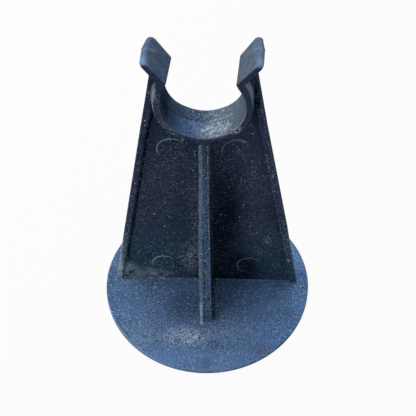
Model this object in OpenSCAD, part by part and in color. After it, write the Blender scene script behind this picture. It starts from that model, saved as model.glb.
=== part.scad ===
// Individual bar chair: a one-piece moulded support that holds a single reinforcing bar
// at a set height above the formwork.
//
// A thin round foot carries an upright web that narrows towards the top. The web has a
// flange along each sloping edge and a gusset rib up its middle, front and rear alike. It
// ends in a snap saddle: an open ring whose lips flare out into two ears.
//
// The mould parts on the web's middle plane, so the walls that stand out from that plane
// thin towards their free edges by the draft angle.
//
// Frame: the origin is the centre of the foot's underside, +Z is up, the web lies in the
// XZ plane and the bar lies along Y.

/* [Foot] */
// Diameter of the round foot
foot_d = 76; // [60:1:110]
// Thickness of the foot along the parting plane
foot_t = 1.8; // [1.4:0.1:3]
// Thickness of the foot at its front and rear edges
foot_edge_t = 1.1; // [0.8:0.1:1.3]

/* [Saddle] */
// Diameter of the bar that the saddle holds
bar_d = 22.2; // [14:0.2:30]
// Height of the bar's underside above the ground
seat_h = 75; // [60:1:100]
// Length of the saddle along the bar
saddle_w = 12.5; // [9:0.5:18]
// Wall of the saddle under the bar
wall_under = 1.5; // [1.2:0.1:2.4]
// How much thicker the saddle's wall is at its sides, where it springs open
wall_extra = 0.5; // [0:0.1:0.8]
// Angle above the bar's centre at which the bore ends in a lip
lip_angle = 34.2; // [28:0.2:42]
// Radius that rounds each lip
lip_r = 0.5; // [0.3:0.1:0.7]

/* [Ears] */
// Length of an ear from its lip to its tip
ear_len = 7.7; // [5:0.1:12]
// Angle of an ear's upper face above the horizontal
ear_angle = 54; // [45:1:60]
// Thickness of an ear at its lip
ear_t = 1.85; // [1.6:0.05:2.4]
// Thickness of an ear at its tip
ear_tip_t = 1.5; // [1.3:0.1:1.6]
// Radius that rounds the upper corner of an ear's tip
ear_tip_r = 0.9; // [0.4:0.1:1.2]
// Draft of an ear's tip
ear_tip_draft = 5.5; // [1:0.5:8]

/* [Web] */
// Thickness of the web
web_t = 2; // [1.4:0.1:2.8]
// Distance from the foot's rim to the outer face of each flange
web_inset = 3.6; // [1:0.2:8]

/* [Flanges] */
// Thickness of a flange at the foot
flange_foot_t = 2.6; // [1.8:0.1:3.4]
// Thickness of a flange at the height of the bar's centre
flange_top_t = 1.85; // [1.4:0.05:2.4]
// Front-to-rear depth of a flange at the foot
flange_foot_depth = 4; // [3.2:0.2:8]
// Front-to-rear depth of a flange at the height of the bar's centre
flange_top_depth = 7; // [4:0.2:8]

/* [Rib] */
// Thickness of the gusset rib at the parting plane
rib_t = 3.1; // [2:0.1:4]
// Reach of the rib's toe from the parting plane
rib_toe_reach = 19.3; // [14:0.1:26]
// Height of the rib's toe above the ground
rib_toe_h = 2.2; // [2:0.1:4]

/* [Moulding] */
// Draft angle of the flanges, the rib and the outside of the saddle
draft = 1; // [0.5:0.1:1.4]
// Diameter of the marks that the ejector pins leave on the web
pin_d = 8.8; // [5:0.2:10]
// Height of a pin mark above the web
pin_rise = 0.15; // [0.1:0.05:0.3]
// Height of the lower pair of pin marks above the ground
pin_low_h = 11; // [9:0.5:16]
// Drop of the upper pair of pin marks below the bar's underside
pin_drop = 8.5; // [8:0.5:14]

/* [Hidden] */
$fn = 96;
plastic = [0.17, 0.21, 0.29];

foot_r = foot_d / 2;
bar_r = bar_d / 2;
axis_z = seat_h + bar_r;

// The saddle's outer circle is centred above the bar, so its wall grows towards the sides
ring_r = bar_r + wall_under + wall_extra;
ring_z = axis_z + wall_extra;

// Right flange at the ground and at the bar's centre, where it touches the saddle's side
flange_foot_x = foot_r - web_inset;
flange_top_x = ring_r + flange_top_t;
outer_angle = atan2(axis_z, flange_top_x - flange_foot_x);
inner_angle = atan2(axis_z, ring_r - (flange_foot_x - flange_foot_t));

// Centre of the round of the right lip, which touches the bore and the ear's upper face
lip_x = (bar_r + lip_r) * cos(lip_angle);
lip_z = axis_z + (bar_r + lip_r) * sin(lip_angle);

// Longer than the chair in every direction, for cuts and half spaces
far = 2 * (foot_d + axis_z);

// Where two lines cross, each given by a point and its angle
function meet(p, p_angle, q, q_angle) =
    let (way = cross(q - p, [cos(q_angle), sin(q_angle)]) / sin(q_angle - p_angle))
    p + way * [cos(p_angle), sin(p_angle)];

// Everything to the right of the line that runs through (x, z) at an angle, as seen from
// the front. The face recedes from the line by the draft, in front and behind.
module right_of(x, z, angle) {
    lean = far * tan(draft);
    translate([x, 0, z])
        rotate([0, -angle, 0])
            rotate([90, 0, 90])
                linear_extrude(2 * far, center = true)
                    polygon([[0, 0], [far, -lean], [far, -far], [-far, -far], [-far, -lean]]);
}

module left_of(x, z, angle) {
    right_of(x, z, angle + 180);
}

// A side view, given as depths and heights of its rear half, extruded across the chair
module side_view(points) {
    rotate([90, 0, 90])
        linear_extrude(2 * far, center = true) {
            polygon(points);
            mirror([1, 0])
                polygon(points);
        }
}

// A front view extruded to a depth that is centred on the parting plane
module front_view(depth) {
    rotate([90, 0, 0])
        linear_extrude(depth, center = true)
            children();
}

module both_sides() {
    children();
    mirror([1, 0, 0])
        children();
}

module foot() {
    intersection() {
        cylinder(h = foot_t, r = foot_r);
        side_view([[0, 0], [foot_r, 0], [foot_r, foot_edge_t], [0, foot_t]]);
    }
}

// The web fills the space between the flanges from the foot up to the lips
module web() {
    low_z = foot_t / 2;
    low_x = flange_foot_x - flange_foot_t / 2;
    edge_angle = (outer_angle + inner_angle) / 2;
    ear_end = meet([low_x, 0], edge_angle, [lip_x, lip_z], ear_angle);
    front_view(web_t)
        for (side = [-1, 1])
            scale([side, 1])
                polygon([[0, low_z], [low_x, low_z], ear_end, [lip_x, lip_z], [0, axis_z]]);
}

// The right flange runs up to the ear's middle and grows in depth all the way
module flange() {
    top_z = lip_z + ear_len;
    low_z = foot_t / 2;
    foot_y = flange_foot_depth / 2;
    top_y = foot_y + (flange_top_depth / 2 - foot_y) * top_z / axis_z;
    intersection() {
        left_of(flange_foot_x, 0, outer_angle);
        right_of(flange_foot_x - flange_foot_t, 0, inner_angle);
        right_of(lip_x, lip_z, ear_angle);
        side_view([[0, low_z], [foot_y, low_z], [top_y, top_z], [0, top_z]]);
    }
}

// The gusset tapers from its toe on the foot up to the saddle's front and rear faces
module rib() {
    top_z = seat_h - wall_under / 2;
    top_y = saddle_w / 2;
    intersection() {
        right_of(-rib_t / 2, 0, 90);
        left_of(rib_t / 2, 0, 90);
        side_view([
            [0, 0],
            [rib_toe_reach, 0],
            [rib_toe_reach, rib_toe_h],
            [top_y, top_z],
            [0, top_z]
        ]);
    }
}

// The blank of the saddle, drafted outside and open between its lips
module ring() {
    face_y = saddle_w / 2;
    face_r = ring_r - face_y * tan(draft);
    mouth_x = far * cos(lip_angle);
    mouth_z = far * sin(lip_angle);
    difference() {
        translate([0, 0, ring_z])
            rotate([90, 0, 0])
                rotate_extrude()
                    polygon([
                        [0, -face_y],
                        [face_r, -face_y],
                        [ring_r, 0],
                        [face_r, face_y],
                        [0, face_y]
                    ]);
        front_view(2 * saddle_w)
            translate([0, axis_z])
                polygon([[0, 0], [mouth_x, mouth_z], [-mouth_x, mouth_z]]);
    }
}

module bore() {
    translate([0, 0, axis_z])
        rotate([90, 0, 0])
            cylinder(h = 2 * saddle_w, r = bar_r, center = true);
}

// Section of an ear along its length: the upper face is level with the top of the lip, the
// lower face closes up on it towards the tip, and the tip's upper corner is rounded
module ear_section() {
    difference() {
        polygon([[0, lip_r - ear_t], [ear_len, lip_r - ear_tip_t], [ear_len, lip_r], [0, lip_r]]);
        translate([ear_len - ear_tip_r, lip_r - ear_tip_r])
            difference() {
                square(2 * ear_tip_r);
                circle(ear_tip_r);
            }
    }
}

// The right ear: its front and rear halves lean back from the tip by the tip's draft
module ear() {
    half_w = saddle_w / 2;
    translate([lip_x, 0, lip_z])
        rotate([0, -ear_angle, 0]) {
            front_view(saddle_w)
                circle(lip_r);
            for (side = [-1, 1])
                intersection() {
                    translate([ear_len, 0, 0])
                        rotate([0, 0, side * ear_tip_draft])
                            translate([-ear_len, 0, 0])
                                front_view(2 * saddle_w)
                                    ear_section();
                    translate([0, (side - 1) * half_w / 2, -far])
                        cube([far, half_w, 2 * far]);
                }
        }
}

// Low round pads on both faces of the web, midway between the rib and the flanges
module pin_marks() {
    for (z = [pin_low_h, seat_h - pin_drop]) {
        flange_x = meet([0, z], 0, [flange_foot_x - flange_foot_t, 0], inner_angle).x;
        translate([(rib_t / 2 + flange_x) / 2, 0, z])
            rotate([90, 0, 0])
                cylinder(h = web_t + 2 * pin_rise, d = pin_d, center = true);
    }
}

module chair() {
    color(plastic)
        difference() {
            union() {
                foot();
                web();
                rib();
                ring();
                both_sides()
                    flange();
                both_sides()
                    ear();
                both_sides()
                    pin_marks();
            }
            bore();
        }
}

chair();
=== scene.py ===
import math

import bmesh
import bpy
from mathutils import Matrix, Vector, noise


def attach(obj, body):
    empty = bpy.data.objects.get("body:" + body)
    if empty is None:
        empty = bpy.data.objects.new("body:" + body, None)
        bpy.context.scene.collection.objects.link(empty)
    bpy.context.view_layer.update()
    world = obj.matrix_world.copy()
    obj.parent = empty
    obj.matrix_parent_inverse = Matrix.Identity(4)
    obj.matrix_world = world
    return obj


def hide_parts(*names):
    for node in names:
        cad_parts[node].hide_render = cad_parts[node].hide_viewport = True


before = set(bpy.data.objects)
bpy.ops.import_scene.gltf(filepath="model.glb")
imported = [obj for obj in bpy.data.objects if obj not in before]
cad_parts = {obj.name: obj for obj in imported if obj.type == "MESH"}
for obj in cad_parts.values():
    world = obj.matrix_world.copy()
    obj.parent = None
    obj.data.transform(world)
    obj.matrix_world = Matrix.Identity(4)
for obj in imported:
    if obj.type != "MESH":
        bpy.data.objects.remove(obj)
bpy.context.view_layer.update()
scene = bpy.context.scene
scene.view_settings.view_transform = "Standard"


# ---- Camera ----
# A camera held in front of the chair and well above it, looking down at the web's front
# face. It stands a little to the right and is rolled by less than a degree.
MM = 0.001
VIEW_TARGET = Vector((0.6919, 0, 40.6751)) * MM
VIEW_DISTANCE = 174.977
VIEW_AZIMUTH = math.radians(2.7908)
VIEW_ELEVATION = math.radians(48.2729)
VIEW_ROLL = math.radians(-0.8518)
FOCAL_LENGTH = 46.554
SENSOR_WIDTH = 36
NEAREST_SEEN = 5

lens = bpy.data.cameras.new("camera")
lens.lens = FOCAL_LENGTH
lens.sensor_width = SENSOR_WIDTH
lens.clip_start = NEAREST_SEEN * MM
camera = bpy.data.objects.new("camera", lens)
scene.collection.objects.link(camera)
camera.matrix_world = (
    Matrix.Translation(VIEW_TARGET)
    @ Matrix.Rotation(VIEW_AZIMUTH, 4, "Z")
    @ Matrix.Rotation(math.pi / 2 - VIEW_ELEVATION, 4, "X")
    @ Matrix.Rotation(VIEW_ROLL, 4, "Z")
    @ Matrix.Translation((0, 0, VIEW_DISTANCE * MM))
)
scene.camera = camera


# ---- Moulded chair ----
# The whole chair is one injection moulding in navy polypropylene: foot, web, flanges, ribs
# and snap saddle come out of the mould together. The mould leaves every edge slightly
# round, a low flash line on its parting plane, and round pads where the ejector pins push.

# Sizes and places are in millimetres. A pad's place is its distance from the middle and its
# height
EDGE_ROUND = 0.28
RIM_ROUND = 0.55
PAD_ROUND = 0.11
FOOT_RADIUS = 38
FOOT_TOP = 1.8
WEB_REACH = 1.3
PAD_RADIUS = 4.4
PAD_PLACES = ((9.446, 66.5), (15.474, 11.0))
SAME_POINT = 0.002
SAME_PLANE = math.radians(0.4)
CORNER = math.radians(22)

shell = bmesh.new()
shell.from_mesh(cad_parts["chair"].data)
wear = shell.verts.layers.float.new("wear")
bmesh.ops.remove_doubles(shell, verts=shell.verts, dist=SAME_POINT * MM)
bmesh.ops.dissolve_limit(shell, angle_limit=SAME_PLANE, verts=shell.verts, edges=shell.edges)


def middle_of(edge):
    return (edge.verts[0].co + edge.verts[1].co) / 2 / MM


def on_pad(edge):
    """Whether an edge belongs to the rim of an ejector pad."""
    at = middle_of(edge)
    return abs(at.y) < WEB_REACH and any(
        math.hypot(abs(at.x) - x, at.z - z) < PAD_RADIUS + 0.1 for x, z in PAD_PLACES
    )


def on_foot_rim(edge):
    """Whether an edge belongs to the upper rim of the foot."""
    at = middle_of(edge)
    return 0.5 < at.z < FOOT_TOP + 0.1 and math.hypot(at.x, at.y) > FOOT_RADIUS - 0.5


def round_off(edges, width, segments):
    """Rounds edges and marks the middle of each round as worn."""
    made = bmesh.ops.bevel(
        shell,
        geom=[edge for edge in edges if edge.is_valid],
        affect="EDGES",
        offset=width * MM,
        offset_type="OFFSET",
        segments=segments,
        profile=0.5,
        material=-1,
        clamp_overlap=False,
        loop_slide=True,
    )
    round_faces = set(made["faces"])
    for vert in made["verts"]:
        if all(face in round_faces for face in vert.link_faces):
            vert[wear] = 1


corners = [e for e in shell.edges if e.calc_face_angle() > CORNER]
pad_rims = [e for e in corners if on_pad(e) and e.calc_face_angle_signed() > 0]
foot_rims = [e for e in corners if on_foot_rim(e)]
others = [e for e in corners if not on_pad(e) and not on_foot_rim(e)]
round_off(others, EDGE_ROUND, 3)
round_off(foot_rims, RIM_ROUND, 4)
round_off(pad_rims, PAD_ROUND, 2)


def cut(faces, place, across):
    """Cuts a row of edges into some faces, where a plane passes through them."""
    edges = {edge for face in faces for edge in face.edges}
    verts = {vert for face in faces for vert in face.verts}
    bmesh.ops.bisect_plane(
        shell,
        geom=[*verts, *edges, *faces],
        dist=0.001 * MM,
        plane_co=[length * MM for length in place],
        plane_no=across,
    )


# The flash line: a low ridge that runs round the outline on the parting plane, but not
# through the saddle's bore
FLASH_WIDTH = 0.2
FLASH_RISE = 0.06
BORE_RADIUS = 11.1
BORE_Z = 86.1

for side in (-1, 0, 1):
    cut(shell.faces[:], (0, side * FLASH_WIDTH, 0), (0, 1, 0))
shell.normal_update()
for vert in shell.verts:
    at = vert.co / MM
    on_outline = abs(at.y) < SAME_POINT and abs(vert.normal.y) < 0.3 and at.z > 0.5
    if on_outline and math.hypot(at.x, at.z - BORE_Z) > BORE_RADIUS + 0.3:
        vert.co += vert.normal * (FLASH_RISE * MM)


def rise(value, low, high):
    """Rises smoothly from 0 to 1 as the value goes from low to high."""
    t = min(max((value - low) / (high - low), 0), 1)
    return t * t * (3 - 2 * t)


# The moulding has cooled a little out of true. Its ears have sprung, and their corners are
# rounded. The table says how far each corner of the left and the right ear has sprung: tip
# front and rear, then lip front and rear
LIP = Vector((9.594, 0, 92.620))
EAR_ANGLE = math.radians(54)
EAR_WAY = Vector((math.cos(EAR_ANGLE), 0, math.sin(EAR_ANGLE)))
EAR_LENGTH = 7.7
SADDLE_HALF = 6.25
TIP_CORNER = 1.3
LIP_CORNER = 0.5
EAR_ROWS = (TIP_CORNER, 0.85, LIP_CORNER, 0.3, 0.12)
EAR_SPRING = {
    -1: (((-0.60, 0.0, 0.6), (-0.10, 0.9, 0.15)), ((0.10, 0.0, 0.2), (0.50, 0.0, 0.0))),
    1: (((0.40, 0.0, 0.4), (0.45, 1.3, 0.2)), ((-0.75, 0.0, 0.1), (0.25, 0.9, 0.1))),
}


def on_ear(face):
    highest = max(vert.co.z for vert in face.verts)
    return face.calc_center_median().z > 91 * MM and highest > 92.5 * MM


def corner_cut(depth, radius):
    """How far a rounded corner falls back at a depth near the end of the saddle."""
    past = max(abs(depth) - (SADDLE_HALF - radius), 0)
    return radius - math.sqrt(max(radius**2 - min(past, radius) ** 2, 0))


def spring_ear(at):
    """Rounds the corners of an ear and springs it out of its place."""
    side = 1 if at.x > 0 else -1
    way = Vector((side * EAR_WAY.x, 0, EAR_WAY.z))
    along = (Vector((abs(at.x), 0, at.z)) - LIP).dot(EAR_WAY)
    if along > EAR_LENGTH - 2.2:
        at -= way * corner_cut(at.y, TIP_CORNER)
    elif along > -0.6 and at.z > 91.5 and abs(at.x) < 10.4:
        at += way * corner_cut(at.y, LIP_CORNER)
    up_ear = min(max(along / EAR_LENGTH, 0), 1)
    rearward = min(max(0.5 + at.y / (2 * SADDLE_HALF), 0), 1)
    (tip_front, tip_rear), (lip_front, lip_rear) = EAR_SPRING[side]
    tip = Vector(tip_front).lerp(Vector(tip_rear), rearward)
    lip = Vector(lip_front).lerp(Vector(lip_rear), rearward)
    return at + lip.lerp(tip, up_ear) * rise(at.z, 86.5, 92)


for inset in EAR_ROWS:
    for side in (-1, 1):
        ear_faces = [face for face in shell.faces if on_ear(face)]
        cut(ear_faces, (0, side * (SADDLE_HALF - inset), 0), (0, 1, 0))

# The ribs thicken towards the foot, and the front one's right side leans to the right
RIB_SPREAD_LEFT = 0.62
RIB_SPREAD_RIGHT = 0.50
TOE_LEAN = 0.65
LEAN_TOP = 80
RIB_ROWS = (16, 23, 30, 37, 44, 51, 58, 65)


def on_rib(face):
    return all(
        abs(vert.co.x) < 3 * MM and abs(vert.co.y) > 0.9 * MM and 1.5 * MM < vert.co.z < 76 * MM
        for vert in face.verts
    )


def thicken_rib(at):
    """Spreads the sides of a rib towards its foot."""
    if at.x > 0:
        at.x += RIB_SPREAD_RIGHT * rise(at.z, 66, 10)
        at.x += TOE_LEAN * rise(-at.y, 3, 21) * (1 - at.z / LEAN_TOP)
    elif at.x < 0:
        at.x -= RIB_SPREAD_LEFT * rise(at.z, 70, 28)
    return at


for row_z in RIB_ROWS:
    cut([face for face in shell.faces if on_rib(face)], (0, 0, row_z), (0, 0, 1))

# The left flange stands out up to the saddle and is thinner on its inside, and the right
# one is drawn in at its foot. A flange's inner face leans by its slope
FLANGE_SLOPE = 0.2171
FLANGE_INSIDE = 31.73
FLANGE_THINNING = 0.40
FLANGE_PULL_OUT = 0.25
FLANGE_PUSH = 0.5
FLANGE_ROWS = (30, 74)


def past_inside(at):
    """How far a point lies outside the plane of a flange's inner face."""
    return abs(at.x) + FLANGE_SLOPE * at.z - FLANGE_INSIDE


def on_flange(face):
    points = [vert.co / MM for vert in face.verts]
    return all(past_inside(at) > -1.3 and abs(at.y) < 3.9 and at.z > 1.2 for at in points)


def bend_flange(at):
    """Pulls the left flange out, its inner face furthest, and pushes the right one in."""
    if at.x < 0:
        pull = FLANGE_PULL_OUT + FLANGE_THINNING * (1 - rise(past_inside(at), 0.6, 1.6))
        at.x -= pull * (1 - rise(at.z, 74, 82))
    else:
        at.x -= FLANGE_PUSH * (1 - rise(at.z, 2, 30))
    return at


for row_z in FLANGE_ROWS:
    cut([face for face in shell.faces if on_flange(face)], (0, 0, row_z), (0, 0, 1))

# The saddle's floor has lifted in its middle
FLOOR_LIFT = 0.55

for vert in shell.verts:
    at = vert.co / MM
    if at.z > 86 and abs(at.x) > 8:
        at = spring_ear(at)
    if 71.5 < at.z < 80:
        at.z += FLOOR_LIFT * rise(at.z, 71.5, 72.4) * (1 - rise(abs(at.x), 4.5, 10.0))
    if -1.3 < past_inside(at) < 4.2 and abs(at.y) < 3.9 and 1.2 < at.z < 82:
        at = bend_flange(at)
    if abs(at.x) < 3 and abs(at.y) > 0.9 and 1.2 < at.z < 74:
        at = thicken_rib(at)
    vert.co = at * MM
shell.normal_update()

chair_mesh = bpy.data.meshes.new("chair_moulding")
shell.to_mesh(chair_mesh)
shell.free()
chair_mesh.shade_smooth()
chair = bpy.data.objects.new("chair_moulding", chair_mesh)
scene.collection.objects.link(chair)
flats = chair.modifiers.new("flat faces stay flat", "WEIGHTED_NORMAL")
flats.weight = 50
flats.keep_sharp = True


def add_node(tree, kind, sockets=None, **settings):
    """Adds a shader node, with its sockets set to values or joined to others."""
    made = tree.nodes.new("ShaderNode" + kind)
    for name, value in settings.items():
        setattr(made, name, value)
    for name, value in (sockets or {}).items():
        if isinstance(value, bpy.types.NodeSocket):
            tree.links.new(value, made.inputs[name])
        else:
            made.inputs[name].default_value = value
    return made


class Finish:
    """A surface finish, built up step by step on the piece's own coordinates in
    millimetres. An amount is 0 to 1, or a socket that carries such a number."""

    def __init__(self, name):
        self.material = bpy.data.materials.new(name)
        self.material.use_nodes = True
        self.tree = self.material.node_tree
        self.tree.nodes.clear()
        coords = self.step("TexCoord")
        self.place = self.step(
            "VectorMath", {0: coords.outputs["Object"], "Scale": 1 / MM}, operation="SCALE"
        ).outputs[0]
        self.x, self.y, self.z = self.step("SeparateXYZ", {0: self.place}).outputs
        facing = self.step("SeparateXYZ", {0: coords.outputs["Normal"]})
        self.facing_side, self.facing_front, self.facing_up = facing.outputs

    def step(self, kind, sockets=None, **settings):
        return add_node(self.tree, kind, sockets, **settings)

    def calc(self, operation, first, second=0.0):
        return self.step("Math", {0: first, 1: second}, operation=operation).outputs[0]

    def times(self, *values):
        total = values[0]
        for value in values[1:]:
            total = self.calc("MULTIPLY", total, value)
        return total

    def plus(self, *values):
        total = values[0]
        for value in values[1:]:
            total = self.calc("ADD", total, value)
        return total

    def most(self, *values):
        total = values[0]
        for value in values[1:]:
            total = self.calc("MAXIMUM", total, value)
        return total

    def all_but(self, amount, share=1.0):
        """1, less a share of the amount."""
        return self.plus(1.0, self.times(amount, -share))

    def size_of(self, value):
        return self.calc("ABSOLUTE", value)

    def ease(self, value, low, high, top=1.0):
        """Rises smoothly from 0 to top as the value goes from low to high."""
        return self.step(
            "MapRange",
            {"Value": value, "From Min": low, "From Max": high, "To Max": top},
            interpolation_type="SMOOTHSTEP",
        ).outputs[0]

    def line(self, value, middle, outer, inner):
        """A soft line where the value is near its middle: 0 beyond outer, 1 within inner."""
        return self.ease(self.size_of(self.plus(value, -middle)), outer, inner)

    def distance(self, place, centre):
        away = self.step("VectorMath", {0: place, 1: centre}, operation="SUBTRACT")
        length = self.step("VectorMath", {0: away.outputs[0]}, operation="LENGTH")
        return length.outputs["Value"]

    def tint(self, under, over, amount):
        """Lays a colour over another one, as thickly as the amount says."""
        made = self.step("Mix", data_type="RGBA", clamp_factor=True)
        sockets = {s.identifier: s for s in made.inputs}
        for name, value in (("Factor_Float", amount), ("A_Color", under), ("B_Color", over)):
            if isinstance(value, bpy.types.NodeSocket):
                self.tree.links.new(value, sockets[name])
            elif name == "Factor_Float":
                sockets[name].default_value = value
            else:
                sockets[name].default_value = (*value, 1)
        return next(s for s in made.outputs if s.identifier == "Result_Color")

    def moved(self, offset, place=None):
        return self.step(
            "VectorMath", {0: place or self.place, 1: offset}, operation="ADD"
        ).outputs[0]

    def grain(self, size, detail=2.0, rough=0.5, offset=(0, 0, 0)):
        """Cloudy noise around 0.5 whose lumps are about as big as size."""
        return self.step(
            "TexNoise",
            {
                "Vector": self.moved(offset),
                "Scale": 1 / size,
                "Detail": detail,
                "Roughness": rough,
            },
        ).outputs[0]

    def ragged(self, size, amount):
        """The place, pushed about so that round shapes get ragged outlines."""
        push = self.step("TexNoise", {"Vector": self.place, "Scale": 1 / size})
        centred = self.step(
            "VectorMath", {0: push.outputs["Color"], 1: (0.5, 0.5, 0.5)}, operation="SUBTRACT"
        ).outputs[0]
        scaled = self.step("VectorMath", {0: centred, "Scale": amount}, operation="SCALE")
        return self.moved(scaled.outputs[0])

    def specks(self, place, spacing, radius, share, offset=(0, 0, 0)):
        """Specks of up to a radius, some bright and most faint, in a share of the cells of
        a random scatter."""
        cells = self.step(
            "TexVoronoi", {"Vector": self.moved(offset, place), "Scale": 1 / spacing}
        )
        odds, size, shine = self.step("SeparateColor", {0: cells.outputs["Color"]}).outputs
        reach = self.times(self.plus(0.45, self.times(size, 0.55)), radius / spacing)
        inside = self.calc("SUBTRACT", reach, cells.outputs["Distance"])
        dot = self.ease(inside, 0.0, 0.3 * radius / spacing)
        bright = self.plus(0.26, self.times(shine, shine, 0.74))
        return self.times(dot, bright, self.calc("LESS_THAN", odds, share))

    def spot(self, place, centre, reach, core=0.25):
        """1 round a centre, falling to 0 at its reach on each axis."""
        away = self.step("VectorMath", {0: place, 1: centre}, operation="SUBTRACT")
        scaled = self.step("VectorMath", {0: away.outputs[0], 1: reach}, operation="DIVIDE")
        length = self.step("VectorMath", {0: scaled.outputs[0]}, operation="LENGTH")
        return self.ease(length.outputs["Value"], 1.0, core)


# The finish works with distances from the web's middle (width), from the parting plane
# (depth) and from the saddle's axis. What is marked by both_sides shows in front and behind
navy = Finish("dusty_navy_plastic")
width = navy.size_of(navy.x)
depth = navy.size_of(navy.y)
both_sides = navy.step("CombineXYZ", {0: navy.x, 1: depth, 2: navy.z}).outputs[0]
one_side = navy.place
front_or_rear = navy.size_of(navy.facing_front)
left = navy.ease(navy.x, 1.0, -1.0)
outline_place = navy.step("CombineXYZ", {0: navy.x, 1: 0.0, 2: navy.z}).outputs[0]
from_axis = navy.distance(outline_place, (0, 0, BORE_Z))
high = navy.ease(navy.z, 89.0, 92.5)

# Noise, from broad clouds down to single grains of dust
broad = navy.grain(26)
blotch = navy.grain(8, 3.0, 0.6, (31, 7, 3))
patchy = navy.ease(navy.grain(7.0, 3.0, 0.6, (11, 2, 19)), 0.3, 0.62)
smudge = navy.grain(2.6, offset=(4, 21, 6))
cloud = navy.grain(1.5, 3.0, 0.65, (21, 8, 17))
clumps = navy.grain(1.1, 2.5, 0.7, (14, 2, 6))
mottle = navy.grain(0.8, 3.0, 0.7, (5, 3, 8))
salt = navy.grain(0.52, 2.0, 0.6, (9, 4, 1))
fine_grain = navy.grain(0.45, 2.0, 0.6, (3, 13, 7))

# Bare plastic: almost black, with a purple cast in clouds and a teal one low down. It is
# painted darker as shade on the web to the right of each rib, on the pockets' side walls,
# and as the left flange's contact shadow on the web beside it
NAVY = (0.027, 0.043, 0.085)
NAVY_PURPLE = (0.044, 0.055, 0.106)
NAVY_TEAL = (0.026, 0.066, 0.112)
NAVY_CLEAN_AND_SHADE = (0.002, 0.007, 0.020)
OUTER_SLOPE = 0.2259
FLANGE_SHADOW_INSIDE = 0.72

bare = navy.tint(NAVY, NAVY_PURPLE, navy.ease(broad, 0.35, 0.62))
low_down = navy.times(navy.ease(navy.z, 46.0, 8.0), navy.ease(blotch, 0.2, 0.5))
bare = navy.tint(bare, NAVY_TEAL, low_down)
# Painted shade: the rib's shadow on the web to its right
web_shade_right_of_rib = navy.most(
    navy.spot(both_sides, (6, 1, 30), (9, 6, 48), 0.15),
    navy.spot(both_sides, (8, 1, 7), (17, 6, 20), 0.3),
)
bare = navy.tint(bare, NAVY_CLEAN_AND_SHADE, navy.times(web_shade_right_of_rib, 0.9))
bare = navy.tint(bare, NAVY_CLEAN_AND_SHADE, navy.ease(mottle, 0.52, 0.36, 0.45))
outer = navy.plus(width, navy.times(navy.z, OUTER_SLOPE))
# Painted shade on the side walls inside the flanges
pocket_wall_shade = navy.times(
    navy.ease(navy.size_of(navy.facing_side), 0.7, 0.9),
    navy.ease(outer, 33.0, 32.6),
    navy.ease(navy.z, 86.0, 82.0),
)
bare = navy.tint(bare, NAVY_CLEAN_AND_SHADE, navy.times(pocket_wall_shade, 0.85))
from_flange = navy.plus(
    width,
    navy.times(navy.z, FLANGE_SLOPE),
    -FLANGE_INSIDE,
    navy.times(left, navy.ease(navy.z, 82.0, 74.0), -FLANGE_THINNING - FLANGE_PULL_OUT),
)
# Painted contact shadow of the left flange on the web beside it
flange_contact_shadow = navy.times(
    navy.line(from_flange, -FLANGE_SHADOW_INSIDE, 0.42, 0.3), navy.ease(depth, 1.5, WEB_REACH), left
)
bare = navy.tint(bare, NAVY_CLEAN_AND_SHADE, navy.times(flange_contact_shadow, 0.95))

# Bloom and painted sky sheen: a chalky blue film, painted paler, on every surface that looks
# upward. On the foot it is painted lighter to the right and in the web's shadow on the left,
# paler towards the front and rear edges, and wiped thin in places
FILM_SHEEN = (0.088, 0.166, 0.325)
FILM_SHEEN_DEEP = (0.058, 0.118, 0.245)
FILM_SHEEN_RIGHT_LIT = (0.100, 0.212, 0.445)
FILM_SHEEN_DARKER = (0.040, 0.090, 0.185)
FILM_SHEEN_PALE_LIT = (0.122, 0.225, 0.435)

film_and_sheen = navy.tint(FILM_SHEEN_DEEP, FILM_SHEEN, navy.ease(blotch, 0.3, 0.65))
film_and_sheen = navy.tint(film_and_sheen, FILM_SHEEN_DEEP, navy.ease(mottle, 0.55, 0.35, 0.6))
film_and_sheen = navy.tint(film_and_sheen, NAVY, navy.ease(fine_grain, 0.42, 0.3, 0.35))
film_and_sheen = navy.tint(film_and_sheen, FILM_SHEEN_RIGHT_LIT, navy.ease(navy.x, 0.0, 34.0, 0.8))
wiped = navy.ease(navy.grain(11, 3.0, 0.6, (8, 1, 4)), 0.56, 0.70, 0.4)
film_and_sheen = navy.tint(film_and_sheen, FILM_SHEEN_DARKER, wiped)
pale_edges_and_painted_light = navy.most(
    navy.times(navy.ease(depth, 27.0, 33.0), navy.ease(navy.x, 18.0, 8.0, 0.68)),
    navy.times(navy.spot(both_sides, (-27, 5, 1), (7, 6, 4), 0.2), 0.6),
)
film_and_sheen = navy.tint(film_and_sheen, FILM_SHEEN_PALE_LIT, pale_edges_and_painted_light)
# Darker in two places on the foot's right
dark_part = navy.most(
    navy.spot(both_sides, (37, 2, 1), (6, 9, 4), 0.2),
    navy.times(navy.spot(both_sides, (29.5, 15.5, 1), (5, 4, 4), 0.2), 0.7),
)
film_and_sheen = navy.tint(film_and_sheen, FILM_SHEEN_DARKER, navy.times(dark_part, 0.4))

# The ears' film: thin and smudged, greyer on the right ear, with pale smears where a bar has
# been pressed in, and a painted highlight on the ears' ends and at the front of the tips
EAR_BLUE = (0.060, 0.104, 0.212)
EAR_DULL = (0.086, 0.116, 0.178)
EAR_GREY = (0.080, 0.115, 0.175)
EAR_GREY_DULL = (0.105, 0.128, 0.165)
EAR_DARK = (0.040, 0.066, 0.122)
EAR_PALE = (0.150, 0.188, 0.250)
EAR_END_HIGHLIGHT = (0.100, 0.155, 0.270)
EAR_TIP_HIGHLIGHT = (0.190, 0.325, 0.540)
SMEAR = (0.22, 0.27, 0.36)
SMEAR_SLANT = 1.23

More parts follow.
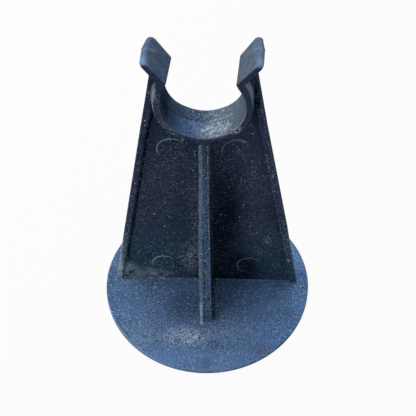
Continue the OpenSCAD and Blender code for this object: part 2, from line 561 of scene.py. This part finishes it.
film_and_sheen = navy.tint(film_and_sheen, navy.tint(EAR_BLUE, EAR_DULL, navy.ease(smudge, 0.3, 0.65)), high)
grey_ear = navy.spot(both_sides, (11.5, 0, 95.5), (6, 16, 8), 0.75)
grey_film = navy.tint(EAR_GREY, EAR_GREY_DULL, navy.ease(smudge, 0.35, 0.6))
film_and_sheen = navy.tint(film_and_sheen, grey_film, navy.times(grey_ear, high))
ear_dark = navy.times(navy.ease(cloud, 0.50, 0.36, 0.5), high, navy.all_but(grey_ear, 0.35))
film_and_sheen = navy.tint(film_and_sheen, EAR_DARK, ear_dark)
film_and_sheen = navy.tint(film_and_sheen, EAR_PALE, navy.times(navy.ease(cloud, 0.52, 0.68, 0.55), high))
# Painted highlight on the ears' end faces and at the front of the tips
right_tip_highlight = navy.times(navy.ease(navy.x, 12.0, 14.0), high, navy.ease(navy.z, 95.0, 97.0))
film_and_sheen = navy.tint(film_and_sheen, EAR_END_HIGHLIGHT, navy.times(right_tip_highlight, 0.6))
ear_end_highlight = navy.times(navy.ease(width, 11.6, 13.8), high)
film_and_sheen = navy.tint(film_and_sheen, EAR_END_HIGHLIGHT, navy.times(ear_end_highlight, left, 0.45))
tip_highlight = navy.times(navy.ease(width, 12.4, 14.2), navy.ease(navy.y, -1.5, -6.0), high)
film_and_sheen = navy.tint(
    film_and_sheen, EAR_TIP_HIGHLIGHT, navy.times(tip_highlight, navy.plus(0.6, navy.times(left, 0.25)))
)
left_smear = navy.times(
    navy.line(navy.plus(navy.y, navy.times(navy.x, -SMEAR_SLANT)), 16.9, 0.75, 0.15),
    navy.ease(navy.x, -11.2, -12.6),
    high,
)
right_smear = navy.times(
    navy.line(navy.plus(navy.y, navy.times(navy.x, SMEAR_SLANT)), 18.0, 0.65, 0.15),
    navy.ease(navy.x, 12.0, 13.0),
    high,
)
smears = navy.most(
    navy.times(left_smear, 0.6),
    navy.times(right_smear, 0.5),
    navy.times(navy.spot(one_side, (-10.6, -2.6, 93.8), (1.8, 1.0, 1.8), 0.0), 0.4),
    navy.times(navy.spot(one_side, (12.6, 3.4, 96.4), (1.8, 2.0, 2.4), 0.0), 0.3),
    navy.times(navy.spot(one_side, (10.2, -3.0, 93.2), (1.2, 2.6, 1.6), 0.0), 0.3),
)
film_and_sheen = navy.tint(film_and_sheen, SMEAR, navy.times(smears, navy.ease(mottle, 0.2, 0.5)))

# The film in the saddle's bore: dull at the rear, painted dark as shade on the left, grey and
# clouded on the right wall
BORE_DULL_AND_SHADE = (0.044, 0.070, 0.125)
GREY_FILM = (0.110, 0.145, 0.185)
WALL_PALE = (0.170, 0.195, 0.230)

in_bore = navy.times(
    navy.ease(from_axis, BORE_RADIUS + 0.25, BORE_RADIUS + 0.1), navy.ease(navy.z, 92.4, 92.0)
)
rear_half = navy.times(navy.ease(navy.y, 0.4, 1.6), navy.ease(navy.x, 4.0, 0.0), in_bore)
film_and_sheen = navy.tint(film_and_sheen, BORE_DULL_AND_SHADE, navy.times(rear_half, 0.75))
# Painted shade: the left ear's shadow on the bore's left part
film_and_sheen = navy.tint(film_and_sheen, BORE_DULL_AND_SHADE, navy.times(navy.ease(navy.x, -5.5, -9.0), in_bore, 0.9))
film_and_sheen = navy.tint(film_and_sheen, GREY_FILM, navy.times(navy.ease(navy.x, -5.0, 5.0), in_bore))
film_and_sheen = navy.tint(film_and_sheen, NAVY, navy.times(navy.ease(navy.x, 5.0, 9.0), in_bore, 0.2))
wall_cloud = navy.times(
    navy.ease(navy.x, 5.0, 8.0), in_bore, navy.ease(cloud, 0.50, 0.66, 0.5)
)
film_and_sheen = navy.tint(film_and_sheen, WALL_PALE, wall_cloud)

# Where the film and painted sheen lie: on what looks upward, on both walls of the bore and on
# the foot's side. Painted shade cuts them back to the left of the ribs' feet and in the bore's
# left wedge, which is painted dark
NAVY_WEDGE_SHADE = (0.014, 0.028, 0.066)

film_and_sheen_cover = navy.ease(navy.facing_up, 0.15, 0.66)
right_wall = navy.times(navy.ease(navy.x, 3.0, 8.0), navy.ease(navy.z, 91.5, 84.0), in_bore)
left_wall = navy.times(navy.ease(navy.x, -7.0, -10.0), in_bore, 0.45)
film_and_sheen_cover = navy.most(film_and_sheen_cover, right_wall, left_wall)
# Painted shade to the left of the ribs' feet, and in the bore's left wedge
foot_shade_left_of_rib = navy.spot(both_sides, (-7.5, 13.5, 1), (11, 9.5, 4))
bore_wedge_shade = navy.times(navy.spot(one_side, (-11.0, -1.4, 84.5), (2.6, 3.4, 8.5), 0.35), in_bore)
film_and_sheen_cover = navy.times(film_and_sheen_cover, navy.all_but(foot_shade_left_of_rib, 0.58), navy.all_but(bore_wedge_shade, 0.9))
foot_side = navy.times(
    navy.ease(navy.z, 2.0, 1.7),
    navy.ease(navy.z, 0.05, 0.2),
    navy.ease(navy.facing_up, 0.8, 0.4),
    navy.ease(navy.x, 22.0, 10.0, 0.85),
)
film_and_sheen_cover = navy.most(film_and_sheen_cover, foot_side)
skin = navy.tint(bare, film_and_sheen, film_and_sheen_cover)
skin = navy.tint(skin, NAVY_WEDGE_SHADE, bore_wedge_shade)

# The ring's outer wall beside the flanges: a painted highlight, blue on the right and grey
# on the left, a painted shadow that the ring casts on the right flange, and a grey drop on
# the left
RING_BLUE = (0.240, 0.325, 0.440)
RING_GREY = (0.30, 0.355, 0.39)

ring_side = navy.times(
    navy.ease(from_axis, 12.4, 12.8),
    navy.ease(from_axis, 13.7, 13.5),
    navy.ease(navy.z, 82.0, 87.0),
)
right_crescent_highlight = navy.times(
    ring_side,
    navy.ease(navy.x, 9.0, 11.0),
    navy.ease(navy.z, 94.0, 92.0),
    navy.ease(depth, 1.2, 2.0),
    navy.ease(from_axis, 13.3, 13.0),
    navy.ease(navy.z, 85.5, 91.0),
    navy.ease(smudge, 0.2, 0.45),
)
left_crescent_highlight = navy.times(
    ring_side,
    navy.ease(navy.x, -11.0, -12.0),
    navy.ease(navy.z, 92.0, 90.5),
    navy.ease(depth, 2.0, 4.0),
)
# Painted shadow of the ring on the right flange's front
ring_cast_shadow = navy.spot(both_sides, (14.0, 3.5, 88.5), (1.2, 2.2, 7.0), 0.6)
skin = navy.tint(skin, NAVY_CLEAN_AND_SHADE, navy.times(ring_cast_shadow, 0.95))
skin = navy.tint(skin, RING_BLUE, right_crescent_highlight)
skin = navy.tint(skin, RING_GREY, navy.times(left_crescent_highlight, 0.85))
teardrop = navy.spot(both_sides, (-12.5, 6.2, 90.4), (1.25, 2.4, 4.0), 0.2)
skin = navy.tint(skin, RING_GREY, navy.times(teardrop, 0.6))

# The ribs' narrow faces: a film of blue dust, greyer and thinner towards the top, with dark
# drag lines down them, and a painted highlight along the left edge and dotted along the right
RIB_BLOOM = (0.080, 0.145, 0.265)
RIB_EDGE_HIGHLIGHT = (0.165, 0.230, 0.345)
ARC_HIGHLIGHT = (0.34, 0.43, 0.50)
RIB_HALF = 1.55
RIB_DRAFT = 0.01746
DRAG_STRETCH = (2.2, 0.12, 0.12)

rib_face = navy.times(
    navy.ease(width, 3.6, 3.2),
    navy.ease(depth, 5.5, 6.3),
    navy.ease(front_or_rear, 0.3, 0.8),
    navy.ease(navy.z, 74.0, 73.0),
)
rib_film = navy.tint(RIB_BLOOM, GREY_FILM, navy.ease(navy.z, 52.0, 72.0, 0.7))
rib_amount = navy.times(
    navy.plus(0.25, navy.ease(fine_grain, 0.36, 0.62, 0.65)), navy.ease(navy.z, 76.0, 50.0)
)
skin = navy.tint(skin, rib_film, navy.times(rib_face, navy.plus(0.12, rib_amount)))
along_rib = navy.step("VectorMath", {0: navy.place, 1: DRAG_STRETCH}, operation="MULTIPLY")
drag = navy.step("TexNoise", {"Vector": along_rib.outputs[0], "Scale": 1.0}).outputs[0]
skin = navy.tint(skin, NAVY, navy.times(rib_face, navy.ease(drag, 0.52, 0.36, 0.5)))
rib_half = navy.plus(RIB_HALF, navy.times(depth, -RIB_DRAFT))
rib_lean = navy.times(
    navy.ease(navy.y, -3.0, -21.0, TOE_LEAN), navy.all_but(navy.z, 1 / LEAN_TOP)
)
from_left = navy.plus(rib_half, navy.x, navy.ease(navy.z, 70.0, 28.0, RIB_SPREAD_LEFT))
from_right = navy.plus(
    rib_half,
    navy.times(navy.x, -1.0),
    rib_lean,
    navy.ease(navy.z, 66.0, 10.0, RIB_SPREAD_RIGHT),
)
rib_lines = navy.most(
    navy.times(navy.line(from_left, 1.72, 0.28, 0.12), navy.ease(navy.z, 46.0, 40.0)),
    navy.times(navy.line(from_right, 0.80, 0.26, 0.10), navy.ease(navy.z, 34.0, 42.0, 0.9)),
)
skin = navy.tint(skin, NAVY, navy.times(rib_lines, rib_face, 0.75))
# Painted highlight along the rib's left edge, and dotted along its right edge
left_edge_highlight = navy.times(navy.ease(from_left, 1.35, 0.7), rib_face)
skin = navy.tint(skin, RIB_EDGE_HIGHLIGHT, navy.times(left_edge_highlight, navy.ease(mottle, 0.3, 0.58, 0.85)))
right_edge_highlight = navy.times(
    navy.line(from_right, 0.30, 0.22, 0.08), navy.ease(fine_grain, 0.48, 0.60), rib_face
)
skin = navy.tint(skin, ARC_HIGHLIGHT, navy.times(right_edge_highlight, navy.ease(blotch, 0.35, 0.6, 0.7)))

# A painted contact shadow on the foot, close beside each rib's right side
rib_contact_shadow = navy.times(
    navy.ease(from_right, -1.7, -0.8),
    navy.ease(from_right, 0.3, 0.1),
    navy.ease(navy.x, 0.5, 1.0),
    navy.ease(navy.z, 2.6, 2.2),
    navy.ease(depth, 20.0, 17.0),
)
skin = navy.tint(skin, NAVY_CLEAN_AND_SHADE, navy.times(rib_contact_shadow, 0.6))

# Scuffs near the foot's front and rear edges, and the dark, slightly bowed parting line in
# the saddle
SCUFF = (0.092, 0.128, 0.235)
PARTING_X = 2.0
PARTING_Y = 1.3
PARTING_BOW = 0.006

scuffs = navy.most(
    navy.spot(both_sides, (0.9, 35.0, 1), (5.0, 2.8, 2), 0.1),
    navy.spot(both_sides, (19.9, 29.2, 1), (5.5, 3.4, 2), 0.1),
)
skin = navy.tint(skin, SCUFF, navy.times(scuffs, 0.85))
from_middle = navy.plus(navy.x, -PARTING_X)
bow = navy.times(from_middle, from_middle, PARTING_BOW)
parting = navy.times(navy.line(navy.plus(navy.y, bow), PARTING_Y, 0.42, 0.12), in_bore)
skin = navy.tint(skin, NAVY_CLEAN_AND_SHADE, navy.times(parting, navy.ease(navy.x, 0.5, -2.5, 0.5)))

# Pale haze of dust low on the left of the web, on the flanges and in two small patches on
# the right of the web
PALE_HAZE = (0.28, 0.35, 0.42)

low_haze = navy.most(
    navy.spot(both_sides, (-30, 2, 6), (7.5, 4, 8.5), 0.0),
    navy.times(navy.spot(both_sides, (-22, 1, 4), (14, 2, 6), 0.0), 0.75),
)
haze_grain = navy.plus(
    0.1, navy.ease(mottle, 0.42, 0.58, 0.4), navy.ease(fine_grain, 0.42, 0.58, 0.5)
)
skin = navy.tint(
    skin, PALE_HAZE, navy.times(low_haze, navy.ease(smudge, 0.34, 0.52), haze_grain, 1.9)
)
flange_film = navy.times(
    navy.ease(from_flange, -0.2, 0.1),
    navy.ease(navy.z, 34.0, 8.0),
    navy.ease(front_or_rear, 0.5, 0.8),
    navy.most(left, navy.ease(navy.z, 18.0, 34.0, 0.5)),
)
skin = navy.tint(
    skin, PALE_HAZE, navy.times(flange_film, navy.ease(smudge, 0.25, 0.6, 0.65))
)
patches = navy.most(
    navy.spot(both_sides, (21.2, 1, 25.5), (2.6, 2, 4.0), 0.0),
    navy.times(navy.spot(both_sides, (19.0, 1, 19), (2, 2, 2.4), 0.0), 0.7),
)
skin = navy.tint(skin, PALE_HAZE, navy.times(patches, navy.ease(mottle, 0.40, 0.60, 0.4)))

# Where loose dust has gathered: before the ribs' toes, on the foot's left, beside the ribs,
# in the lower left pockets, on the flanges, in the saddle and on the ring's left
toe = navy.spot(both_sides, (-4.0, 25.3, 1), (4.6, 4.0, 4), 0.1)
toe_wide = navy.spot(both_sides, (-6, 25, 1), (13, 5.5, 4), 0.1)
toe_right = navy.spot(both_sides, (10, 22.5, 1), (14, 5, 5), 0.1)
foot_left = navy.spot(both_sides, (-21, 25, 1), (13, 8, 5), 0.1)
rib_side = navy.spot(both_sides, (-3.0, 1, 34), (4.5, 4, 46), 0.1)
rib_low = navy.spot(both_sides, (-5.5, 1, 14), (5.5, 4, 14), 0.1)
low_pocket = navy.spot(both_sides, (-16, 1, 10), (17, 4, 26), 0.1)
flange_front = navy.times(
    navy.ease(from_flange, -0.2, 0.1), navy.ease(depth, 1.6, 2.0), navy.ease(navy.z, 84.0, 30.0)
)
upward = navy.ease(navy.facing_up, 0.2, 0.5)
saddle = navy.times(navy.spot(one_side, (3.2, -2.6, 76), (7.2, 4.2, 4.0), 0.45), upward)
saddle_back = navy.times(navy.spot(one_side, (5.5, 2.5, 77.5), (9, 5, 5), 0.2), upward)
ring_left = navy.times(
    navy.spot(both_sides, (-9.0, 6.2, 78.5), (5.5, 1.5, 6.5), 0.3),
    navy.ease(from_axis, 10.9, 11.2),
)
gathered = navy.most(
    toe,
    navy.times(toe_wide, 0.75),
    navy.times(toe_right, 0.5),
    navy.times(foot_left, 0.7),
    navy.times(rib_side, 0.95),
    rib_low,
    navy.times(low_pocket, 0.65),
    navy.times(flange_front, navy.plus(0.45, navy.times(left, 0.2))),
    saddle,
    navy.times(saddle_back, 0.55),
    navy.times(ring_left, 0.35),
    navy.times(low_haze, 0.8),
)

# Grains of dust, dark gaps between them first: salted says how many there are
DUST = (0.31, 0.40, 0.52)
SALT = (0.50, 0.60, 0.70)
SPECK = (0.47, 0.61, 0.79)

on_foot = navy.times(film_and_sheen_cover, navy.ease(navy.z, 6.0, 3.0))
on_ring = navy.times(
    navy.ease(from_axis, 11.0, 11.3),
    navy.ease(from_axis, 13.6, 13.3),
    navy.ease(navy.x, -7.0, -3.0),
)
off_ring = navy.all_but(on_ring, 0.75)
salted = navy.most(
    gathered,
    navy.times(on_foot, navy.plus(0.2, navy.ease(patchy, 0.0, 1.0, 0.5))),
    navy.times(rib_face, navy.plus(0.35, navy.ease(navy.z, 62.0, 40.0, 0.4))),
    navy.times(in_bore, film_and_sheen_cover, navy.ease(navy.x, -8.5, -3.0, 0.8), navy.ease(navy.x, 8.5, 5.5)),
    navy.ease(blotch, 0.3, 0.6, 0.45),
)
salted = navy.times(salted, navy.ease(navy.z, 93.0, 90.0), off_ring)
skin = navy.tint(skin, NAVY_CLEAN_AND_SHADE, navy.times(navy.ease(salt, 0.48, 0.34), salted, 0.85))
in_saddle = navy.times(saddle, navy.plus(0.3, navy.ease(navy.x, -1.4, 0.3, 0.7)))
skin = navy.tint(skin, NAVY, navy.times(in_saddle, navy.ease(clumps, 0.48, 0.38, 0.75)))
dust_film = navy.most(
    navy.times(toe, 0.55),
    navy.times(toe_wide, 0.35),
    navy.times(toe_right, 0.35),
    navy.times(foot_left, 0.3),
    navy.times(rib_low, 0.12),
    navy.times(rib_side, 0.12),
    navy.times(saddle, 0.85),
    navy.times(saddle_back, 0.2),
    navy.times(ring_left, 0.3),
)
haze = navy.times(dust_film, navy.plus(0.05, navy.ease(mottle, 0.38, 0.60, 0.42)))
dusty = navy.tint(skin, DUST, haze)
clumped = navy.most(
    in_saddle, navy.times(toe, 0.8), navy.times(toe_wide, 0.35), navy.times(rib_low, 0.3)
)
dusty = navy.tint(dusty, SALT, navy.times(clumped, navy.ease(clumps, 0.50, 0.60, 0.62)))
thickest = navy.most(toe, navy.times(toe_wide, 0.75), navy.times(rib_low, 0.7))
dusty = navy.tint(dusty, SALT, navy.times(thickest, navy.ease(salt, 0.51, 0.60, 0.8)))
dusty = navy.tint(dusty, SPECK, navy.times(navy.ease(salt, 0.54, 0.70, 0.5), salted))

# Thick crusts of dust: down the flanges' edges, on the left of the ribs' toes and at the
# right end of the parting line. Splashes of beige slurry mark the ring's lower right
BRIGHT = (0.54, 0.64, 0.70)
BEIGE = (0.42, 0.40, 0.35)

outward = navy.plus(outer, navy.times(left, -FLANGE_PULL_OUT))
right_flange = navy.times(navy.ease(navy.z, 14.0, 22.0), navy.ease(outward, 34.0, 34.3), 0.5)
flange_edge = navy.times(
    navy.ease(navy.plus(outward, navy.ease(navy.z, 17.0, 7.0)), 33.5, 34.2),
    navy.ease(navy.plus(navy.z, navy.times(blotch, 14.0)), 40.0, 22.0),
    navy.ease(navy.z, 2.5, 5.0),
    navy.most(left, right_flange),
    navy.plus(0.25, navy.ease(depth, 1.2, 2.6, 0.75)),
)
rib_foot = navy.times(
    navy.line(from_left, 0.50, 0.65, 0.20),
    navy.ease(depth, 16.0, 17.2),
    navy.ease(depth, 20.4, 19.8),
    navy.ease(navy.z, 12.5, 10.0),
    navy.ease(fine_grain, 0.34, 0.52, 0.85),
)
line_streak = navy.times(parting, navy.ease(navy.x, 1.5, 3.0), navy.ease(navy.x, 8.6, 7.4))
thick = navy.most(navy.times(flange_edge, 0.95), rib_foot, navy.times(line_streak, 0.3))
dusty = navy.tint(dusty, BRIGHT, navy.times(thick, navy.ease(mottle, 0.34, 0.52)))
splash = navy.times(
    navy.spot(both_sides, (9.0, 6.2, 78.7), (2.6, 1.0, 2.2), 0.2),
    navy.ease(from_axis, 11.4, 11.7),
)
dusty = navy.tint(dusty, BEIGE, navy.times(splash, navy.ease(mottle, 0.46, 0.56, 0.8)))

# Specks of cement: fine ones on the foot, more of them where dust has gathered, hardly any
# on the ears, and a coarse one here and there
smooth_left = navy.spot(both_sides, (-36, 4, 1), (9, 22, 5), 0.3)
bottom_rim = navy.ease(depth, 28.0, 33.0)
saddle_sides = navy.times(in_bore, navy.ease(navy.size_of(from_middle), 4.5, 7.5))
number = navy.times(
    navy.plus(
        navy.times(on_foot, navy.plus(0.06, navy.times(patchy, 0.34))),
        navy.times(gathered, navy.plus(0.35, navy.times(patchy, 0.45))),
        0.13,
    ),
    navy.ease(navy.z, 92.0, 89.5),
    off_ring,
    navy.all_but(saddle_sides, 0.92),
    navy.all_but(smooth_left, 0.8),
    navy.all_but(bottom_rim, 0.7),
    navy.all_but(web_shade_right_of_rib, 0.85),
    navy.all_but(dark_part, 0.6),
    navy.all_but(ring_cast_shadow),
)
ragged = navy.ragged(0.3, 0.3)
fine = navy.specks(ragged, 0.58, 0.25, navy.times(number, 1.6))
coarse_number = navy.times(number, 0.9, navy.all_but(on_foot, 0.55))
coarse = navy.specks(ragged, 1.0, 0.30, coarse_number, (5, 9, 2))
rare = navy.specks(ragged, 2.6, 0.34, navy.times(number, 0.45), (17, 3, 11))
speckle = navy.most(fine, coarse, navy.times(rare, 1.2))
speckled = navy.tint(dusty, SPECK, speckle)

# Edges rubbed pale by handling, in stretches, with a light line on the bore's right edge,
# and a painted highlight on the foot's front left rim
WORN = (0.17, 0.22, 0.30)
RIM_HIGHLIGHT = (0.20, 0.31, 0.50)

edge = navy.step("Attribute", attribute_name="wear").outputs["Fac"]
rub = navy.ease(navy.grain(3.0, 3.0, 0.6, (2, 9, 4)), 0.40, 0.62, 0.4)
rubbed = navy.tint(speckled, WORN, navy.times(edge, rub, navy.all_but(high, 0.8)))
# Painted highlight on the foot's front left rim
foot_rim_highlight = navy.times(
    edge,
    navy.spot(one_side, (-27, -27, 1), (24, 24, 4), 0.5),
    navy.ease(navy.z, 2.2, 1.8),
)
rubbed = navy.tint(rubbed, RIM_HIGHLIGHT, navy.times(foot_rim_highlight, 0.6))
bore_edge = navy.times(
    edge,
    navy.spot(both_sides, (10.3, 6.2, 80.5), (2.6, 0.8, 5.5), 0.6),
    navy.ease(from_axis, 11.6, 11.3),
)
rubbed = navy.tint(rubbed, RING_GREY, navy.times(bore_edge, 0.68))

# A painted highlight in an arc round each ejector pad's rim: over its top, and for the lower
# right pads also under their lower left
folded = navy.step("CombineXYZ", {0: width, 1: 0.0, 2: navy.z}).outputs[0]
pad_highlights = []
for pad_x, pad_z in PAD_PLACES:
    across = navy.times(navy.plus(width, -pad_x), navy.calc("SIGN", navy.x))
    up = navy.plus(navy.z, -pad_z)
    shown = navy.ease(navy.plus(up, navy.times(across, -0.7)), -1.0, 4.0)
    if pad_z < BORE_Z / 2:
        lower_left = navy.plus(navy.times(up, -0.6), navy.times(across, -1.0))
        lower_left = navy.ease(lower_left, -1.5, 3.5)
        shown = navy.most(
            navy.times(shown, navy.plus(0.55, navy.times(left, 0.45))),
            navy.times(lower_left, navy.plus(1.5, navy.times(left, -1.5))),
        )
    from_pad = navy.distance(folded, (pad_x, 0, pad_z))
    pad_highlights.append(navy.times(navy.line(from_pad, PAD_RADIUS, 0.22, 0.06), shown))
pad_highlight = navy.times(
    navy.most(*pad_highlights),
    navy.ease(depth, 1.5, WEB_REACH),
    navy.ease(mottle, 0.28, 0.46),
    navy.plus(0.65, navy.times(left, 0.35)),
)
finish = navy.tint(rubbed, ARC_HIGHLIGHT, navy.times(pad_highlight, 0.85))

roughness = navy.plus(0.55, navy.times(navy.most(film_and_sheen_cover, speckle, haze), 0.2))
height = navy.plus(
    navy.times(mottle, 0.5), navy.times(speckle, 0.9), navy.times(blotch, 0.8)
)
relief = navy.step("Bump", {"Height": height, "Strength": 0.4, "Distance": 0.06 * MM})
plastic = navy.step(
    "BsdfPrincipled",
    {
        "Base Color": finish,
        "Roughness": roughness,
        "IOR": 1.49,
        "Specular IOR Level": 0.0,
        "Normal": relief.outputs[0],
    },
)
navy.step("OutputMaterial", {"Surface": plastic.outputs[0]})
chair_mesh.materials.append(navy.material)
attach(chair, "root")
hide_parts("chair")


# ---- Cement crumbs ----
# Small lumps of set cement paste stuck to the chair where it caught splashes: on the
# saddle ring's front face, on the web and down the front rib. Each is a rough ball,
# flattened against the surface that it clings to.

# Place and size of each crumb, and the way that the surface under it faces
CRUMBS = (
    ((-4.4, -1.25, 1.95), 0.75, (0, -0.7, 0.7)),
    ((-1.05, -20.4, 1.5), 0.55, (0, 0, 1)),
    ((-15.7, -3.4, 79.2), 0.50, (0, -1, 0)),
    ((7.6, -6.25, 77.8), 0.50, (0, -1, 0)),
    ((8.5, -6.25, 78.2), 0.62, (0, -1, 0)),
    ((9.5, -6.25, 79.1), 0.52, (0, -1, 0)),
    ((13.5, -1.0, 73.1), 0.45, (0, -1, 0)),
    ((0.8, -13.95, 31.8), 0.42, (0, -1, 0.2)),
    ((0.3, -15.0, 26.0), 0.50, (0, -1, 0.2)),
    ((0.65, -8.35, 62.6), 0.40, (0, -1, 0.2)),
    ((-2.6, -1.0, 47.8), 0.45, (0, -1, 0)),
    ((-3.6, -1.0, 58.7), 0.55, (0, -1, 0)),
    ((4.1, -1.0, 68.9), 0.35, (0, -1, 0)),
)
CRUMB_LUMPS = 0.45
CRUMB_FLATNESS = 0.55

heap = bmesh.new()
for place, size, faces in CRUMBS:
    ball = bmesh.ops.create_icosphere(heap, subdivisions=2, radius=size / 2 * MM)["verts"]
    for vert in ball:
        vert.co *= 1 + CRUMB_LUMPS * noise.noise(vert.co / MM * 3 + Vector(place))
        vert.co.z *= CRUMB_FLATNESS
    stand = Vector((0, 0, 1)).rotation_difference(Vector(faces)).to_matrix().to_4x4()
    bmesh.ops.transform(heap, matrix=Matrix.Translation(Vector(place) * MM) @ stand, verts=ball)
crumb_mesh = bpy.data.meshes.new("cement_crumbs")
heap.to_mesh(crumb_mesh)
heap.free()
crumb_mesh.shade_smooth()
crumbs = bpy.data.objects.new("cement_crumbs", crumb_mesh)
scene.collection.objects.link(crumbs)

CEMENT_DARK = (0.24, 0.27, 0.29)
CEMENT_PALE = (0.50, 0.53, 0.54)

cement = Finish("set_cement")
grit = cement.grain(0.25, 4.0, 0.7)
shade = cement.tint(CEMENT_DARK, CEMENT_PALE, cement.ease(grit, 0.3, 0.7))
relief = cement.step("Bump", {"Height": grit, "Strength": 0.6, "Distance": 0.05 * MM})
paste = cement.step(
    "BsdfPrincipled",
    {
        "Base Color": shade,
        "Roughness": 0.9,
        "Specular IOR Level": 0.2,
        "Normal": relief.outputs[0],
    },
)
cement.step("OutputMaterial", {"Surface": paste.outputs[0]})
crumb_mesh.materials.append(cement.material)
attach(crumbs, "root")


# ---- Studio ----
# A white paper floor that runs out of sight, a large soft lamp high above the chair's rear
# left, a weak one at its front left, and an even white surround. The floor keeps the
# chair's soft shadow.
FLOOR_HALF = 4000
FLOOR_DROP = 0.1
PAPER = 0.6
PAPER_GLOW = 0.93
SURROUND_LIGHT = 0.42
WHITE = (1, 1, 1, 1)

paper = bmesh.new()
bmesh.ops.create_grid(paper, x_segments=1, y_segments=1, size=FLOOR_HALF * MM)
bmesh.ops.translate(paper, vec=(0, 0, -FLOOR_DROP * MM), verts=paper.verts)
floor_mesh = bpy.data.meshes.new("floor")
paper.to_mesh(floor_mesh)
paper.free()
floor = bpy.data.objects.new("floor", floor_mesh)
scene.collection.objects.link(floor)


def seen_directly(tree):
    """1 for camera, mirror and glass rays, 0 for the light that falls on the object."""
    rays = add_node(tree, "LightPath").outputs
    total = rays["Is Camera Ray"]
    for ray in ("Is Glossy Ray", "Is Transmission Ray"):
        total = add_node(tree, "Math", {0: total, 1: rays[ray]}, operation="MAXIMUM").outputs[0]
    return total


white_paper = bpy.data.materials.new("white_paper")
white_paper.use_nodes = True
tree = white_paper.node_tree
tree.nodes.clear()
matt = add_node(tree, "BsdfDiffuse", {"Color": (PAPER, PAPER, PAPER, 1)})
glow = add_node(tree, "Emission", {"Color": WHITE, "Strength": 1.0})
share = add_node(tree, "Math", {0: seen_directly(tree), 1: PAPER_GLOW}, operation="MULTIPLY")
mixed = add_node(
    tree, "MixShader", {0: share.outputs[0], 1: matt.outputs[0], 2: glow.outputs[0]}
)
add_node(tree, "OutputMaterial", {"Surface": mixed.outputs[0]})
floor_mesh.materials.append(white_paper)

world = bpy.data.worlds.new("surround")
scene.world = world
world.use_nodes = True
tree = world.node_tree
tree.nodes.clear()
even = add_node(tree, "Background", {"Color": WHITE, "Strength": SURROUND_LIGHT})
white = add_node(tree, "Background", {"Color": WHITE, "Strength": 1.0})
mixed = add_node(
    tree, "MixShader", {0: seen_directly(tree), 1: even.outputs[0], 2: white.outputs[0]}
)
add_node(tree, "OutputWorld", {"Surface": mixed.outputs[0]})

LAMP_AIM = Vector((0, 0, 40)) * MM


def lamp(name, place, size, power):
    """A square soft lamp that looks at the middle of the chair."""
    bulb = bpy.data.lights.new(name, "AREA")
    bulb.shape = "SQUARE"
    bulb.size = size * MM
    bulb.energy = power
    holder = bpy.data.objects.new(name, bulb)
    scene.collection.objects.link(holder)
    at = Vector(place) * MM
    holder.location = at
    holder.rotation_euler = (LAMP_AIM - at).to_track_quat("-Z", "Y").to_euler()


lamp("key_lamp", (-190, 170, 570), 600, 3.2)
lamp("fill_lamp", (-450, -330, 330), 300, 0.4)
